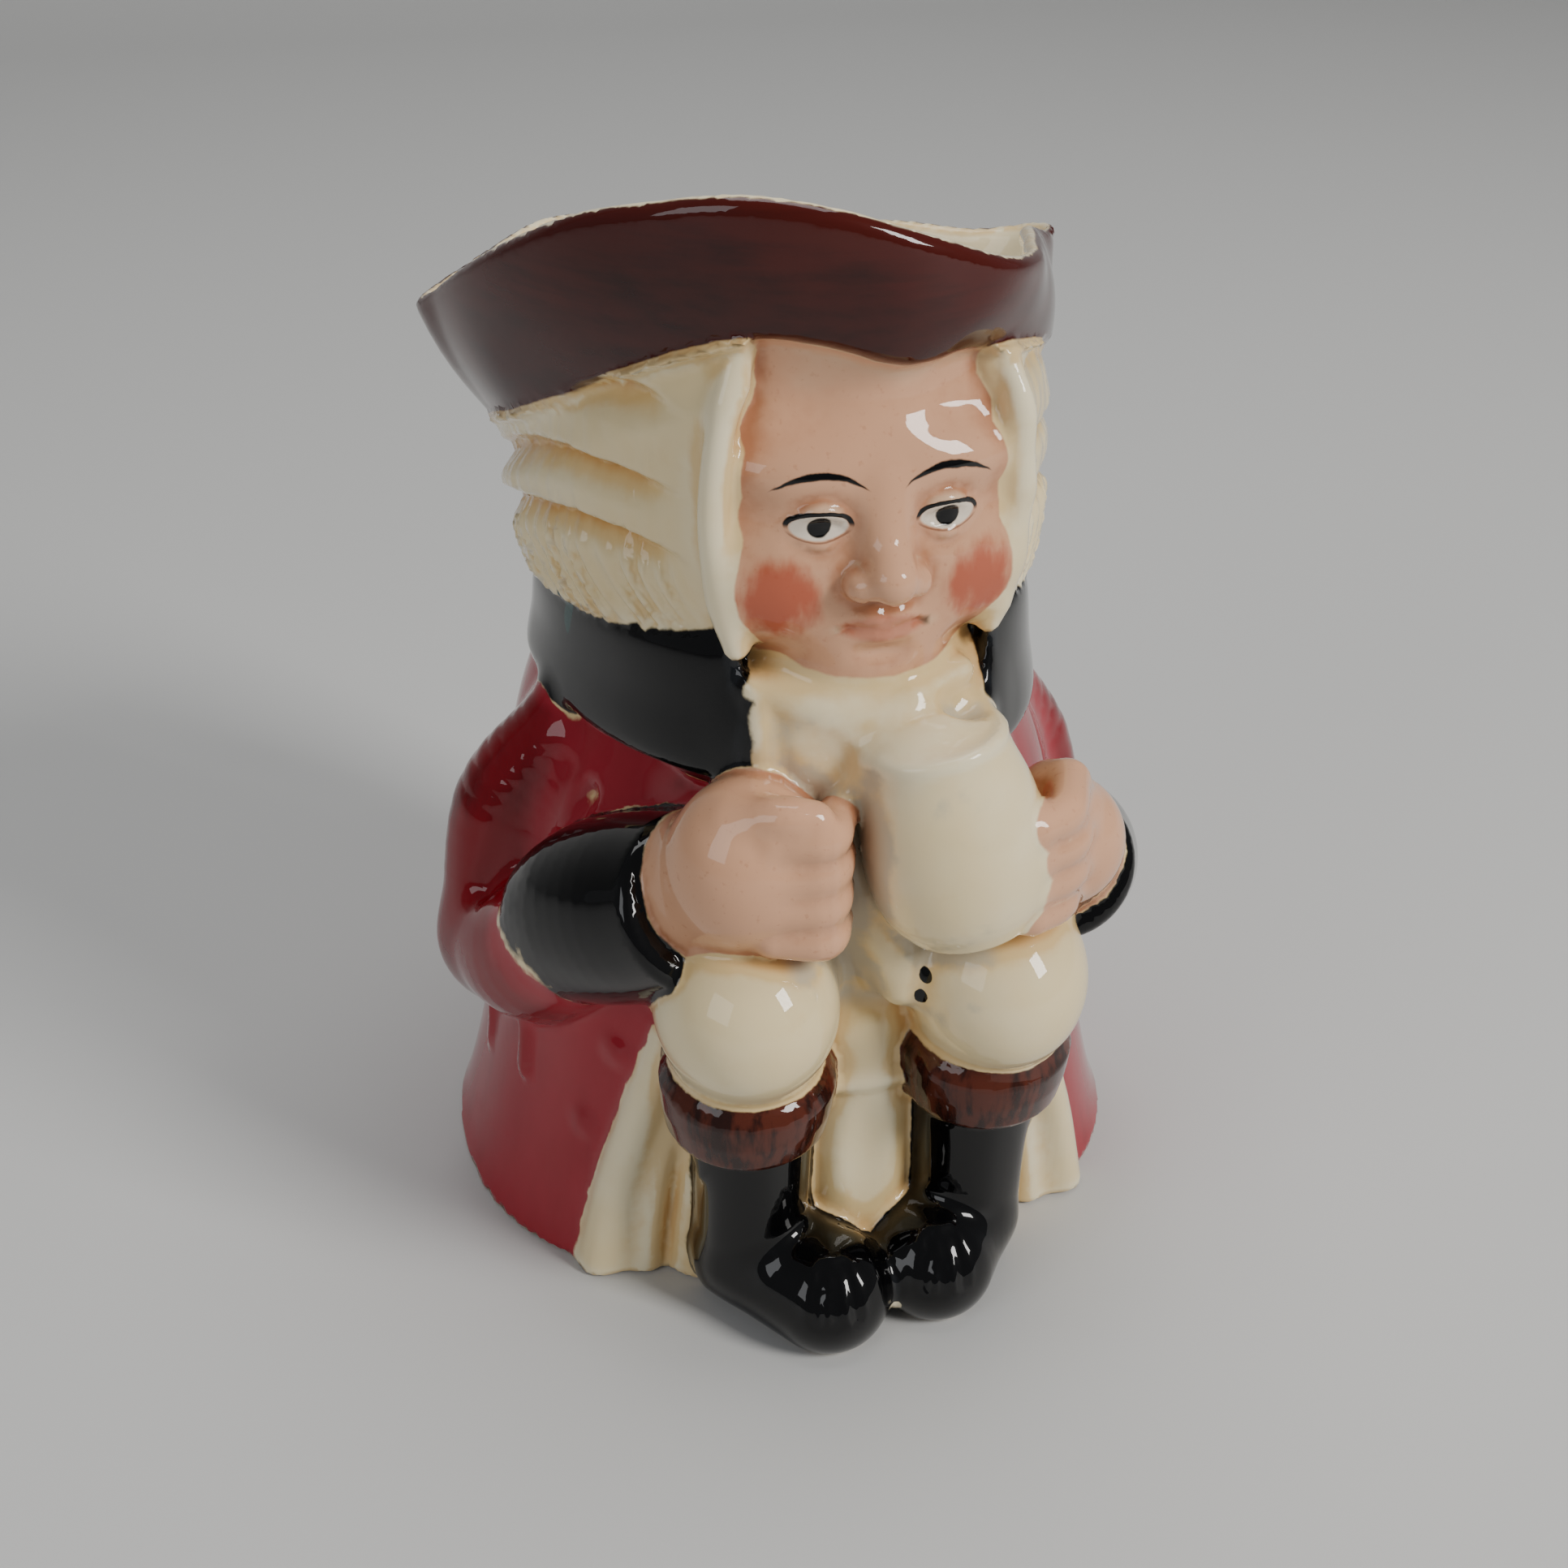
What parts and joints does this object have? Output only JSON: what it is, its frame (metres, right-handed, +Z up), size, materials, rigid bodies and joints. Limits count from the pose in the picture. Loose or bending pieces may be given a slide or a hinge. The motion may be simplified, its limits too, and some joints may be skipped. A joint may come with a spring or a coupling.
{
  "type": "toby jug",
  "caption": "Hollow earthenware jug cast as a seated figure in a three-cornered hat that is open at the top, holding a small mug, with a bow handle at the back.",
  "frame": {"origin": "On the flat underside, under the axis of the hollow.", "axes": "+Z up, -Y the way the figure looks, +Y the handle side, +X the figure's own left, where it holds the small mug."},
  "size_m": [0.1084, 0.1382, 0.165],
  "materials": {
    "glazed_earthenware": "gloss"
  },
  "bodies": {
    "root": {"toby_jug": "glazed_earthenware"}
  },
  "joints": []
}
